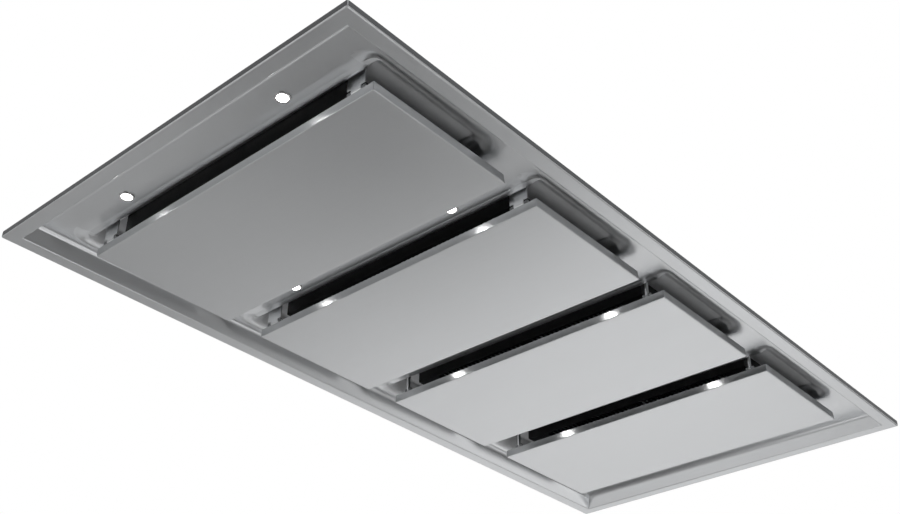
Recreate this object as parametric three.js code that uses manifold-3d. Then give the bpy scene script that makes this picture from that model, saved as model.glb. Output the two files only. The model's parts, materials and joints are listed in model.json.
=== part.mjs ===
// A flush ceiling range hood, seen from below in use: a stainless fascia with a recessed pan,
// four swing-down panels with grease filters behind them, eight lamps, and the fan housing above.
// Millimetres, +Z up. The origin is the centre of the ceiling opening, at the ceiling's underside.
// X runs along the hood, and "left" is -X. "near" is -Y and "far" is +Y.
import * as THREE from "three";
import { mergeVertices } from "three/addons/utils/BufferGeometryUtils.js";
import Module from "manifold-3d";

const wasm = await Module();
wasm.setup();

// ---------------------------------------------------------------- driving dimensions

const HOOD_LENGTH = 1200;
const HOOD_WIDTH = 598;
const GAP = 0.3; // between pieces that seat on each other
const STEEL = 1; // stainless sheet

// fascia pan
const FLANGE_WIDTH = 18.5;
const FLANGE_RETURN = 8;
const WALL_RUN = 11.5; // how far the recess wall leans in
const RECESS_DEPTH = 20;
const WALL_BEND = 9; // radius from the wall into the plate
const CORNER_RADIUS = 2;
const SHELL_INSET = 7; // from the head of the recess wall to the housing

// panels
const PANEL_COUNT = 4;
const END_MARGIN = 96; // from the hood's short side to the first panel
const SIDE_MARGIN = 60; // from the hood's long side to the panels
const PANEL_GAP = 56;
const PANEL_DROP = 5; // below the flange
const PANEL_FOLD = 11;
const GRIP_LEAN = 3; // how far the right-hand fold leans in
const LINER_SHEET = 0.8;
const LINER_SUNK = 0.2; // below the top of the folds

// pockets and filters, measured from the panel's left edge
const POCKET_START = -3;
const POCKET_END = 46; // short of the panel's right edge
const POCKET_OVERLAP = 5; // past the panel's ends
const POCKET_DEPTH = 22;
const POCKET_CORNER = 8; // at the ceiling; the rim's corners open out from it
const DISH_RUN = 17; // the shallow dish beside the lamps
const DISH_RISE = 2.6;
const LEDGE_RUN = 8; // the flat ledge between the dish and the pocket
const ROLL_RUN = 7; // the roll from the ledge into the pocket
const ROLL_RISE = 12;
const SOFT_ROLL = 17; // radius of the rolled rim on the other three sides
const RIM_LAP = 1; // how far a pressed rim runs into the sheet it belongs to
const FILTER_START = 10;
const FILTER_END = 50; // short of the panel's right edge
const FILTER_END_ROOM = 44; // from the pocket's end walls
const FILTER_HEIGHT = 34;
const FILTER_CLEARANCE = 1;
const FILTER_WALL = 1.5;
const FILTER_TONGUE = 4;
const TONGUE_INSET = 20; // from the filter's ends
const SLOT_END_MARGIN = 31; // from the filter's ends to the first slot
const SLOT_WIDTH = 6;
const SLOTS_PER_HALF = 14;
const SLOT_MARGIN = 5;
const MIDDLE_BAR = 18;
const CHEEK_DROP = 2; // the latch's channel ends this far below the filter's top

// filter latch
const LATCH_WIDTH = 12;
const LATCH_TRAVEL = 6; // draws the bolt clear of the pocket's ceiling
const LATCH_REACH = 46; // from the filter's side to the back of the latch
const LATCH_THICKNESS = 3;
const THUMB_LENGTH = 16;
const THUMB_EDGE = 2; // the slot for a finger, from the back of the latch

// hinges
const HINGE_INSET = 1.5; // pin axis from the panel's left edge
const KNUCKLE_RADIUS = 2.3;
const KNUCKLE_BORE = 1.35;
const PIN_RADIUS = 1;
const HINGE_END_INSET = 26; // from the panel's end to the middle of a hinge
const LEAF_WIDTH = 26;
const LEAF_KNUCKLE = 15;
const LEAF_SHEET = 1.5;
const ARM_WIDTH = 3;
const ARM_EAR_GAP = 4.2;
const EAR_WIDTH = 3.6;
const FOOT_DEPTH = 9;
const FOOT_HEEL = 2; // how far a hinge's foot reaches behind its leaf

// catches
const CATCH_INSET = 12; // from the panel's right edge
const CATCH_BULB = 2.4;
const CATCH_STEM = 2;
const CATCH_WIDTH = 8;
const CATCH_FOOT = [14, 20];
const JAW_SIZE = 3;
const JAW_HEIGHT = 6;

// lamps
const LAMP_OFFSET = -33; // from the panel's left edge
const LAMP_SPREAD = 136.5;
const LAMP_BEZEL = 9;
const LAMP_BODY = 6.5;
const LAMP_LENS = 7;
const LAMP_RIM = 1; // thickness of the bezel
const LAMP_HEIGHT = 20;

// housing
const SHELL_HEIGHT = 271;
const SHELL_SHEET = 1.2;
const SHELL_FLANGE = 6;
const LID_LAP = 12;

// blower
const TONGUE_GAP = 15; // from the wheel to the scroll's tongue
const SCROLL_GROWTH = 75; // how far the spiral opens out over its turn
const SCROLL_SHEET = 2;
const DUCT_ROOM = 1; // round the spigot inside the scroll's neck
const SCROLL_POST = 12;
const POST_RADIUS = 10;
const WHEEL_RADIUS = 110;
const WHEEL_HEIGHT = 104;
const WHEEL_RIM = 3; // thickness of its ring and back plate, and how far they reach past the blades
const WHEEL_CLEARANCE = 14; // above the inlet plate
const BLADE_COUNT = 32;
const BLADE_DEPTH = 18;
const BLADE_THICKNESS = 1.2;
const BLADE_SWEEP = 10; // how far a blade's tip leads its root
const BLADE_BOW = 4;
const INLET_INSET = 14; // the inlet's edge inside the wheel's
const BELL_RADIUS = 8;
const MOTOR_RADIUS = 50;
const MOTOR_HEIGHT = 62;
const MOTOR_CHAMFER = 6;
const MOTOR_BAND = 14; // from each end of the motor to its wider middle
const MOTOR_FLANGE = 8;
const MOTOR_ROOM = 8; // between the motor and the wheel's cupped back
const SHAFT_RADIUS = 4;
const SHAFT_OUT = 20; // from the motor's face to the hub
const HUB_RADIUS = 12;
const HUB_FOOT = 20; // where the hub spreads into the web
const HUB_ABOVE = 10;
const HUB_BELOW = 8;

// duct collar and damper
const DUCT_RADIUS = 75;
const DUCT_WALL = 1.5;
const DUCT_OUTSIDE = 60;
const DUCT_INSIDE = 37;
const COLLAR_FLANGE = 17;
const DAMPER_PIN = 2;
const DAMPER_SETBACK = 22; // pin from the shell's outer face
const FLAP_SHEET = 1.2;
const FLAP_CLEARANCE = 1.2;
const FLAP_KNUCKLE = 4;
const KNUCKLE_LENGTH = 20;
const KNUCKLE_PLAY = 2; // between one flap's knuckle and the other's
const KNUCKLE_INSET = 10.3; // from the flap's lowest point to the lowest knuckle

// electrics and hangers
const BOX_LENGTH = 190;
const BOX_WIDTH = 130;
const BOX_HEIGHT = 52;
const BOX_SETBACK = 60; // from the shell's left wall
const BOX_CORNER = 6;
const BOX_EAR = 12; // the fixing ears at its two ends
const BOX_WALL = 2;
const GLAND_BEHIND = 80; // the gland, off the middle towards +Y
const GLAND_RADIUS = 8;
const GLAND_BORE = 4;
const GLAND_CAP = 20;
const GLAND_INSIDE = 14;
const GLAND_NUT = 5;
const HANGER_SPREAD = 180;
const HANGER_WIDTH = 60;
const HANGER_LEAF = 30;
const HANGER_HEIGHT = 50;
const HANGER_SHEET = 2.5;
const HANGER_SLOT_WIDTH = 9;
const HANGER_SLOT_LENGTH = 25;
const HANGER_LEVEL = 190;

// ---------------------------------------------------------------- derived levels and places

const FLANGE_FACE = -FLANGE_RETURN;
const PLATE = FLANGE_FACE + RECESS_DEPTH; // underside of the plate
const PLATE_TOP = PLATE + STEEL;
const POCKET_CEILING = PLATE + POCKET_DEPTH;
const POCKET_TOP = POCKET_CEILING + STEEL;
const PANEL_FACE = FLANGE_FACE - PANEL_DROP;
const PANEL_TOP = PANEL_FACE + PANEL_FOLD;
const PANEL_WIDTH = (HOOD_LENGTH - 2 * END_MARGIN - (PANEL_COUNT - 1) * PANEL_GAP) / PANEL_COUNT;
const PANEL_LENGTH = HOOD_WIDTH - 2 * SIDE_MARGIN;
const PANEL_PITCH = PANEL_WIDTH + PANEL_GAP;
const POCKET_WIDTH = PANEL_WIDTH - POCKET_START - POCKET_END;
const POCKET_LENGTH = PANEL_LENGTH + 2 * POCKET_OVERLAP;
const FILTER_WIDTH = PANEL_WIDTH - FILTER_START - FILTER_END;
const FILTER_LENGTH = POCKET_LENGTH - 2 * FILTER_END_ROOM;
const SLOT_FIELD = FILTER_LENGTH - 2 * SLOT_END_MARGIN;
const HINGE_SPREAD = PANEL_LENGTH / 2 - HINGE_END_INSET;
const LATCH_BOLT = LATCH_TRAVEL - 2 * FILTER_CLEARANCE; // past the side of the filter
const HINGE_AXIS = PANEL_TOP + KNUCKLE_RADIUS + GAP;
const WALL_FOOTPRINT = FLANGE_WIDTH + WALL_RUN + SHELL_INSET;
const SHELL_LENGTH = HOOD_LENGTH - 2 * WALL_FOOTPRINT;
const SHELL_WIDTH = HOOD_WIDTH - 2 * WALL_FOOTPRINT;
const SHELL_BASE = PLATE_TOP + GAP;
const SHELL_TOP = SHELL_BASE + SHELL_HEIGHT;
const NECK_WIDTH = 2 * (DUCT_RADIUS + SCROLL_SHEET + DUCT_ROOM);
const SCROLL_HEIGHT = NECK_WIDTH;
const SCROLL_TOP = SHELL_TOP - SCROLL_POST;
const SCROLL_BASE = SCROLL_TOP - SCROLL_HEIGHT;
const SCROLL_START = WHEEL_RADIUS + TONGUE_GAP;
const SCROLL_END = SCROLL_START + SCROLL_GROWTH;
const INLET_RADIUS = WHEEL_RADIUS - INLET_INSET;
const NECK_RIGHT = SCROLL_END;
const NECK_LEFT = SCROLL_END - NECK_WIDTH;
const DUCT_X = (NECK_LEFT + NECK_RIGHT) / 2;
const DUCT_Z = (SCROLL_BASE + SCROLL_TOP) / 2;
const SHELL_BACK = SHELL_WIDTH / 2;
const BIG = 2000; // longer than any piece, for cutting tools
const CUT_DEPTH = 20; // of a round hole through a wall
const PAST = 1; // how far a cutting tool runs past a face
const LEAST_RADIUS = 0.05; // of a corner drawn in until it is sharp
const MERGE = 1e-4; // points nearer than this are one
const CORNER_STEPS = 3; // facets round a corner
const BEND_STEPS = 3; // facets round a bend in sheet
const KNUCKLE_SIDES = 8;
const SMALL_SIDES = 12; // facets round lamps, posts and the gland
const MOTOR_SIDES = 20;
const ROUND_SIDES = 32; // facets round the inlet and the duct
const SPIRAL_STEPS = 28;

const panelLeft = (i) => (i - (PANEL_COUNT - 1) / 2) * PANEL_PITCH - PANEL_WIDTH / 2;

// ---------------------------------------------------------------- solids

// A closed three.js geometry as a solid, turned outward if its profile ran the other way.
function solid(geometry) {
  const bare = geometry.clone();
  bare.deleteAttribute("normal");
  bare.deleteAttribute("uv");
  const merged = mergeVertices(bare, MERGE);
  const build = (triVerts) =>
    new wasm.Manifold(
      new wasm.Mesh({ numProp: 3, vertProperties: merged.attributes.position.array, triVerts }),
    );
  const triVerts = new Uint32Array(merged.index.array);
  const made = build(triVerts);
  return made.volume() > 0 ? made : build(triVerts.reverse());
}

function geometryOf(body) {
  const mesh = body.getMesh();
  const geometry = new THREE.BufferGeometry();
  const positions = new Float32Array((mesh.vertProperties.length / mesh.numProp) * 3);
  for (let i = 0; i < positions.length / 3; i++)
    for (let k = 0; k < 3; k++) positions[3 * i + k] = mesh.vertProperties[i * mesh.numProp + k];
  geometry.setAttribute("position", new THREE.BufferAttribute(positions, 3));
  geometry.setIndex(new THREE.BufferAttribute(new Uint32Array(mesh.triVerts), 1));
  geometry.computeVertexNormals();
  return geometry;
}

const join = (...bodies) => bodies.reduce((a, b) => a.add(b));
const cut = (body, ...tools) => tools.reduce((a, b) => a.subtract(b), body);

// A box from its low corner to its high corner.
function box(x0, y0, z0, x1, y1, z1) {
  const geometry = new THREE.BoxGeometry(x1 - x0, y1 - y0, z1 - z0);
  geometry.translate((x0 + x1) / 2, (y0 + y1) / 2, (z0 + z1) / 2);
  return solid(geometry);
}

// A round bar of a given length, centred on a point, along one axis.
function bar(radius, length, axis, [x, y, z], sides = 16) {
  const geometry = new THREE.CylinderGeometry(radius, radius, length, sides);
  if (axis === "z") geometry.rotateX(Math.PI / 2);
  if (axis === "x") geometry.rotateZ(Math.PI / 2);
  geometry.translate(x, y, z);
  return solid(geometry);
}

// A profile of [radius, height] turned about the Z axis; it closes on itself.
function turned(profile, sides) {
  const points = [...profile, profile[0]].map(([r, z]) => new THREE.Vector2(r, z));
  const geometry = new THREE.LatheGeometry(points, sides);
  geometry.rotateX(Math.PI / 2);
  return solid(geometry);
}

// An outline in the XY plane, given as a shape or as points, raised from one level to another.
function raised(outline, z0, z1) {
  const shape = outline instanceof THREE.Shape ? outline : shapeOf(outline);
  const geometry = new THREE.ExtrudeGeometry(shape, { depth: z1 - z0, bevelEnabled: false });
  geometry.translate(0, 0, z0);
  return solid(geometry);
}

// An outline of [x, z] points, drawn out along Y.
function drawnAlongY(outline, y0, y1) {
  const geometry = new THREE.ExtrudeGeometry(shapeOf(outline), { depth: y1 - y0, bevelEnabled: false });
  geometry.rotateX(Math.PI / 2);
  geometry.translate(0, y1, 0);
  return solid(geometry);
}

const shapeOf = (points) => new THREE.Shape(points.map(([x, y]) => new THREE.Vector2(x, y)));

// The corner points of a rectangle drawn in by an inset, each corner rounded in a few steps.
function roundedOutline([x0, y0, x1, y1], radius, inset = 0, steps = CORNER_STEPS) {
  const r = Math.max(radius - inset, LEAST_RADIUS);
  const corners = [
    [x1, y1, -1, -1],
    [x0, y1, 1, -1],
    [x0, y0, 1, 1],
    [x1, y0, -1, 1],
  ];
  return corners.flatMap(([x, y, towardX, towardY], quarter) =>
    Array.from({ length: steps + 1 }, (_, k) => {
      const angle = ((quarter + k / steps) * Math.PI) / 2;
      return [
        x + towardX * (inset + r) + r * Math.cos(angle),
        y + towardY * (inset + r) + r * Math.sin(angle),
      ];
    }),
  );
}

const roundedPlate = (corners, radius, inset) => shapeOf(roundedOutline(corners, radius, inset));

// Rings of points with as many points each, joined in their order and closed on themselves.
function closedRim(rings) {
  const size = rings[0].length;
  const index = [];
  for (let p = 0; p < rings.length; p++)
    for (let k = 0; k < size; k++) {
      const here = p * size;
      const next = ((p + 1) % rings.length) * size;
      const after = (k + 1) % size;
      index.push(here + k, next + k, next + after, here + k, next + after, here + after);
    }
  const geometry = new THREE.BufferGeometry();
  geometry.setAttribute("position", new THREE.Float32BufferAttribute(rings.flat(2), 3));
  geometry.setIndex(index);
  return solid(geometry);
}

// A closed profile of [inset, z] points carried round a rectangle with round corners, as a folded rim is.
function rimAround(corners, radius, profile) {
  return closedRim(
    profile.map(([inset, z]) => roundedOutline(corners, radius, inset).map(([x, y]) => [x, y, z])),
  );
}

// Points on a circular arc in a profile plane, between two angles in degrees.
function arc([cx, cy], radius, from, to, steps) {
  return Array.from({ length: steps + 1 }, (_, k) => {
    const angle = THREE.MathUtils.degToRad(from + ((to - from) * k) / steps);
    return [cx + radius * Math.cos(angle), cy + radius * Math.sin(angle)];
  });
}

// ---------------------------------------------------------------- materials

const steel = (shade) => new THREE.MeshStandardMaterial({ color: shade, metalness: 1, roughness: 0.35 });
const BRUSHED = steel(0xb9bbbd);
const BRIGHT = steel(0xd6d8da);
const GALVANISED = steel(0x9aa0a4);
const BLACK = new THREE.MeshStandardMaterial({ color: 0x1a1b1c, metalness: 0.2, roughness: 0.6 });
const GREY_PLASTIC = new THREE.MeshStandardMaterial({ color: 0x5a5d60, metalness: 0, roughness: 0.55 });
const LAMP = new THREE.MeshStandardMaterial({ color: 0xf2f2ee, metalness: 0.1, roughness: 0.3 });

const hood = new THREE.Group();

function place(name, body, material) {
  const mesh = new THREE.Mesh(geometryOf(body), material);
  mesh.name = name;
  hood.add(mesh);
}

// ---------------------------------------------------------------- fascia pan

const wallSlope = Math.atan2(RECESS_DEPTH, WALL_RUN);
const plateInset = () => FLANGE_WIDTH + WALL_RUN + WALL_BEND * Math.tan(wallSlope / 2);

// The flange, its return and the leaning recess wall, as one folded rim.
function fasciaRim() {
  const slope = wallSlope;
  const wallFoot = FLANGE_WIDTH;
  const wallHead = FLANGE_WIDTH + WALL_RUN;
  const setback = WALL_BEND * Math.tan(slope / 2);
  const bendCentre = [wallHead + setback, PLATE - WALL_BEND];
  const bendFrom = 90 + THREE.MathUtils.radToDeg(slope);
  const across = STEEL / Math.sin(slope) - STEEL / Math.tan(slope);
  return [
    [0, 0],
    [0, FLANGE_FACE],
    [wallFoot, FLANGE_FACE],
    ...arc(bendCentre, WALL_BEND, bendFrom, 90, BEND_STEPS),
    [wallHead + setback + RIM_LAP, PLATE],
    [wallHead + setback + RIM_LAP, PLATE_TOP],
    ...arc(bendCentre, WALL_BEND + STEEL, 90, bendFrom, BEND_STEPS),
    [wallFoot - across, FLANGE_FACE + STEEL],
    [STEEL, FLANGE_FACE + STEEL],
    [STEEL, 0],
  ];
}

// [distance out from the pocket's wall, rise above the plate] of its left rim: dish, ledge and roll.
// The sheet's upper side lies off its lower side by a thickness.
function leftRim(sheet) {
  const ledge = ROLL_RUN + LEDGE_RUN;
  const dish = ledge + DISH_RUN;
  const roll = arc([0, 0], 1, -90, 0, 2).map(([run, rise]) => [
    ROLL_RUN - (ROLL_RUN - sheet) * run,
    DISH_RISE + ROLL_RISE + (ROLL_RISE - sheet) * rise,
  ]);
  return [
    [dish + RIM_LAP, sheet],
    [dish, sheet],
    [(dish + ledge) / 2, DISH_RISE / 4 + sheet],
    [ledge, DISH_RISE + sheet],
    ...roll,
    [sheet, POCKET_DEPTH + STEEL],
  ];
}

// The same for the softly rolled rim on the other three sides, with as many points.
function softRim(sheet) {
  const steps = leftRim(sheet).length - 3;
  return [
    [SOFT_ROLL + RIM_LAP, sheet],
    ...arc([SOFT_ROLL, SOFT_ROLL], SOFT_ROLL - sheet, -90, -180, steps),
    [sheet, POCKET_DEPTH + STEEL],
  ];
}

// The rim of a pocket, from the plate up to its ceiling; its height changes round the two left corners.
function pocketRim(corners) {
  const [x0, y0, x1, y1] = corners;
  const ring = ([outLeft, riseLeft], [out, rise]) =>
    roundedOutline([x0 - outLeft, y0 - out, x1 + out, y1 + out], POCKET_CORNER + out).map(([x, y], k) => {
      const quarter = Math.floor(k / (CORNER_STEPS + 1));
      const share = (k % (CORNER_STEPS + 1)) / CORNER_STEPS;
      const left = [0, share, 1 - share, 0][quarter];
      return [x, y, PLATE + riseLeft * left + rise * (1 - left)];
    });
  const side = (sheet) => leftRim(sheet).map((point, k) => ring(point, softRim(sheet)[k]));
  return closedRim([...side(0), ...side(STEEL).reverse()]);
}

// The outline in the plate that a pocket's rim starts from, grown by a lap.
const pocketMouth = ([x0, y0, x1, y1], lap) => {
  const out = SOFT_ROLL + lap;
  const outLeft = DISH_RUN + LEDGE_RUN + ROLL_RUN + lap;
  return roundedPlate([x0 - outLeft, y0 - out, x1 + out, y1 + out], POCKET_CORNER + out);
};

const pocketBox = (i) => {
  const left = panelLeft(i) + POCKET_START;
  return [left, -POCKET_LENGTH / 2, left + POCKET_WIDTH, POCKET_LENGTH / 2];
};

// The filter's outside, grown by a clearance.
const filterBox = (i, grow = 0) => {
  const left = panelLeft(i) + FILTER_START;
  return [left - grow, -FILTER_LENGTH / 2 - grow, left + FILTER_WIDTH + grow, FILTER_LENGTH / 2 + grow];
};

const lampPlaces = (i) =>
  [["near", -LAMP_SPREAD], ["far", LAMP_SPREAD]].map(([side, y]) => [side, panelLeft(i) + LAMP_OFFSET, y]);

const lampHole = (x, y) => bar(LAMP_BODY + GAP, CUT_DEPTH, "z", [x, y, PLATE], SMALL_SIDES);

function fasciaPan() {
  const footprint = [-HOOD_LENGTH / 2, -HOOD_WIDTH / 2, HOOD_LENGTH / 2, HOOD_WIDTH / 2];
  const rim = rimAround(footprint, CORNER_RADIUS, fasciaRim());
  const plate = roundedPlate(footprint, CORNER_RADIUS, plateInset());
  const pockets = [];
  for (let i = 0; i < PANEL_COUNT; i++) {
    const corners = pocketBox(i);
    plate.holes.push(pocketMouth(corners, RIM_LAP / 2));
    const ceiling = roundedPlate(corners, POCKET_CORNER, -STEEL / 2);
    const [x0, y0, x1, y1] = filterBox(i, FILTER_CLEARANCE);
    ceiling.holes.push(shapeOf([[x0, y0], [x1, y0], [x1, y1], [x0, y1]]));
    pockets.push(pocketRim(corners));
    pockets.push(raised(ceiling, POCKET_CEILING, POCKET_TOP));
  }
  const body = join(rim, raised(plate, PLATE, PLATE_TOP), ...pockets);
  const lampHoles = [];
  for (let i = 0; i < PANEL_COUNT; i++)
    for (const [, x, y] of lampPlaces(i)) lampHoles.push(lampHole(x, y));
  return cut(body, ...lampHoles);
}

place("fascia_pan", fasciaPan(), BRUSHED);

// ---------------------------------------------------------------- panels

// The folded skin: a tray with three upright folds and one that leans in.
function panelSkin(i) {
  const x0 = panelLeft(i);
  const x1 = x0 + PANEL_WIDTH;
  const half = PANEL_LENGTH / 2;
  const outside = [[x0, PANEL_FACE], [x1, PANEL_FACE], [x1 - GRIP_LEAN, PANEL_TOP], [x0, PANEL_TOP]];
  const lean = GRIP_LEAN / PANEL_FOLD;
  const floor = PANEL_FACE + STEEL;
  const inside = [
    [x0 + STEEL, floor],
    [x1 - STEEL - lean * STEEL, floor],
    [x1 - STEEL - GRIP_LEAN - lean * PAST, PANEL_TOP + PAST],
    [x0 + STEEL, PANEL_TOP + PAST],
  ];
  return cut(drawnAlongY(outside, -half, half), drawnAlongY(inside, -half + STEEL, half - STEEL));
}

// One ear of a hinge, standing on the liner round the pin.
function hingeEar(i, y0, y1) {
  const x = panelLeft(i) + HINGE_INSET;
  const y = (y0 + y1) / 2;
  const foot = PANEL_TOP - LINER_SUNK - LINER_SHEET / 2;
  const ear = join(
    bar(KNUCKLE_RADIUS, y1 - y0, "y", [x, y, HINGE_AXIS], KNUCKLE_SIDES),
    box(x, y0, foot, x + KNUCKLE_RADIUS, y1, HINGE_AXIS),
  );
  return cut(ear, bar(KNUCKLE_BORE, y1 - y0 + 2 * PAST, "y", [x, y, HINGE_AXIS], KNUCKLE_SIDES));
}

// The two ears of one hinge, either side of the fixed knuckle or arm.
function earPair(i, centre) {
  const inner = isLeafHinge(i) ? LEAF_KNUCKLE / 2 + GAP : ARM_EAR_GAP - EAR_WIDTH / 2;
  const width = isLeafHinge(i) ? LEAF_WIDTH / 2 - inner : EAR_WIDTH;
  return [
    hingeEar(i, centre - inner - width, centre - inner),
    hingeEar(i, centre + inner, centre + inner + width),
  ];
}

const isLeafHinge = (i) => i < 2;
const hingePlaces = [["near", -HINGE_SPREAD], ["far", HINGE_SPREAD]];

// The closing sheet inside the skin, with its turned-down edge, the hinge ears and the catch's jaws.
function panelLiner(i) {
  const side = STEEL + GAP;
  const x0 = panelLeft(i) + side;
  const x1 = panelLeft(i) + PANEL_WIDTH - GRIP_LEAN - side - GAP;
  const half = PANEL_LENGTH / 2 - side;
  const top = PANEL_TOP - LINER_SUNK;
  const base = PANEL_FACE + STEEL + GAP;
  const t = LINER_SHEET;
  const tray = cut(
    box(x0, -half, base, x1, half, top),
    box(x0 + t, -half + t, base - PAST, x1 - t, half - t, top - t),
  );
  const ears = hingePlaces.flatMap(([, y]) => earPair(i, y));
  const catchX = panelLeft(i) + PANEL_WIDTH - CATCH_INSET;
  const clear = CATCH_BULB + 2 * GAP;
  const jaws = [-1, 1].map((s) => {
    const near = catchX + s * clear;
    const far = near + s * JAW_SIZE;
    const reach = [Math.min(near, far), Math.max(near, far)];
    return box(reach[0], -CATCH_WIDTH / 2, top - t / 2, reach[1], CATCH_WIDTH / 2, top + JAW_HEIGHT);
  });
  return join(tray, ...ears, ...jaws);
}

for (let i = 0; i < PANEL_COUNT; i++) {
  place(`panel_${i + 1}`, panelSkin(i), BRUSHED);
  place(`panel_liner_${i + 1}`, panelLiner(i), GALVANISED);
}

// ---------------------------------------------------------------- hinges

// The foot by which a leaf or an arm hangs from the pocket's ceiling, beside the filter.
function hingeFoot(x, y0, y1) {
  const top = POCKET_CEILING - GAP;
  const heel = x - LEAF_SHEET / 2 - FOOT_HEEL;
  return box(heel, y0, top - LEAF_SHEET, heel + FOOT_DEPTH, y1, top);
}

// A wide leaf with a rolled knuckle in its middle.
function hingeLeaf(i, y) {
  const x = panelLeft(i) + HINGE_INSET;
  const top = POCKET_CEILING - GAP;
  const half = LEAF_WIDTH / 2;
  const tongue = LEAF_KNUCKLE / 2;
  const shoulder = HINGE_AXIS + KNUCKLE_RADIUS + 2 * GAP;
  const leaf = join(
    hingeFoot(x, y - half, y + half),
    box(x - LEAF_SHEET / 2, y - half, shoulder, x + LEAF_SHEET / 2, y + half, top),
    box(x - LEAF_SHEET / 2, y - tongue, HINGE_AXIS, x + LEAF_SHEET / 2, y + tongue, top),
    bar(KNUCKLE_RADIUS, LEAF_KNUCKLE, "y", [x, y, HINGE_AXIS], KNUCKLE_SIDES),
  );
  return cut(leaf, bar(KNUCKLE_BORE, BIG, "y", [x, y, HINGE_AXIS], KNUCKLE_SIDES));
}

// A slim arm that ends in an eye.
function hingeArm(i, y) {
  const x = panelLeft(i) + HINGE_INSET;
  const top = POCKET_CEILING - GAP;
  const half = ARM_WIDTH / 2;
  const arm = join(
    hingeFoot(x, y - 3 * half, y + 3 * half),
    box(x - KNUCKLE_RADIUS, y - half, HINGE_AXIS, x + KNUCKLE_RADIUS, y + half, top),
    bar(KNUCKLE_RADIUS, ARM_WIDTH, "y", [x, y, HINGE_AXIS], KNUCKLE_SIDES),
  );
  return cut(arm, bar(KNUCKLE_BORE, BIG, "y", [x, y, HINGE_AXIS], KNUCKLE_SIDES));
}

for (let i = 0; i < PANEL_COUNT; i++)
  for (const [side, y] of hingePlaces) {
    const x = panelLeft(i) + HINGE_INSET;
    const length = isLeafHinge(i) ? LEAF_WIDTH : 2 * (ARM_EAR_GAP + EAR_WIDTH / 2);
    if (isLeafHinge(i)) place(`hinge_leaf_${i + 1}_${side}`, hingeLeaf(i, y), BRIGHT);
    else place(`hinge_arm_${i + 1}_${side}`, hingeArm(i, y), BRIGHT);
    place(`hinge_pin_${i + 1}_${side}`, bar(PIN_RADIUS, length, "y", [x, y, HINGE_AXIS], 10), BRIGHT);
  }

// ---------------------------------------------------------------- catches

// The strike: a foot under the plate, a stem and a bulb that the panel's two jaws take between them.
function catchPost(i) {
  const x = panelLeft(i) + PANEL_WIDTH - CATCH_INSET;
  const top = PLATE - GAP;
  const bulb = PANEL_TOP + LINER_SHEET + CATCH_BULB + GAP;
  const [footX, footY] = CATCH_FOOT.map((size) => size / 2);
  return join(
    box(x - footX, -footY, top - LEAF_SHEET, x + footX, footY, top),
    box(x - CATCH_STEM / 2, -CATCH_WIDTH / 2, bulb, x + CATCH_STEM / 2, CATCH_WIDTH / 2, top),
    bar(CATCH_BULB, CATCH_WIDTH, "y", [x, 0, bulb], SMALL_SIDES),
  );
}

for (let i = 0; i < PANEL_COUNT; i++) place(`catch_post_${i + 1}`, catchPost(i), BRIGHT);

// ---------------------------------------------------------------- grease filters

// A cassette: upright frame, slotted face, a middle bar with the latch's channel, and a tongue on the right.
function greaseFilter(i) {
  const [x0, y0, x1, y1] = filterBox(i);
  const top = PLATE + FILTER_HEIGHT;
  const w = FILTER_WALL;
  const inside = box(x0 + w, y0 + w, PLATE + w, x1 - w, y1 - w, top + PAST);
  const tray = cut(box(x0, y0, PLATE, x1, y1, top), inside);
  const bar0 = MIDDLE_BAR / 2;
  const inChannel = LATCH_WIDTH / 2 + 2 * GAP;
  const cheekTop = top - CHEEK_DROP;
  const cheeks = [[-bar0, -inChannel], [inChannel, bar0]].map(([ya, yb]) =>
    box(x0 + w / 2, ya, PLATE, x1 - w / 2, yb, cheekTop),
  );
  const rest = POCKET_TOP + GAP;
  const tongue = box(x1 - w, y0 + TONGUE_INSET, rest, x1 + FILTER_TONGUE, y1 - TONGUE_INSET, rest + w);
  const pitch = (SLOT_FIELD / 2 - bar0) / SLOTS_PER_HALF;
  const throughFace = (xa, ya, xb, yb) => box(xa, ya, PLATE - PAST, xb, yb, PLATE + w + PAST);
  const slots = [];
  for (const s of [-1, 1])
    for (let k = 0; k < SLOTS_PER_HALF; k++) {
      const y = s * (bar0 + (k + 0.5) * pitch) - SLOT_WIDTH / 2;
      slots.push(throughFace(x0 + SLOT_MARGIN, y, x1 - SLOT_MARGIN, y + SLOT_WIDTH));
    }
  const windowTop = rest + LATCH_THICKNESS + GAP;
  const window = box(x0 - PAST, -inChannel, rest - GAP, x0 + w + PAST, inChannel, windowTop);
  const back = x0 + LATCH_REACH;
  const finger = LATCH_WIDTH / 4;
  const thumb = throughFace(back - THUMB_LENGTH, -finger, back - THUMB_EDGE, finger);
  return cut(join(tray, ...cheeks, tongue), ...slots, window, thumb);
}

// The latch: a bolt over the pocket's ceiling, a leg, and a thumb foot above the slot in the filter's face.
function filterLatch(i) {
  const [x0] = filterBox(i);
  const half = LATCH_WIDTH / 2;
  const bolt = POCKET_TOP + GAP;
  const back = x0 + LATCH_REACH;
  const t = LATCH_THICKNESS;
  const foot = PLATE + FILTER_WALL + GAP;
  return join(
    box(x0 - LATCH_BOLT, -half, bolt, back, half, bolt + t),
    box(back - t, -half, foot, back, half, bolt + t),
    box(back - THUMB_LENGTH - t, -half, foot, back, half, foot + t / 2),
  );
}

for (let i = 0; i < PANEL_COUNT; i++) {
  place(`grease_filter_${i + 1}`, greaseFilter(i), BLACK);
  place(`filter_latch_${i + 1}`, filterLatch(i), BRIGHT);
}

// ---------------------------------------------------------------- lamps

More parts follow.
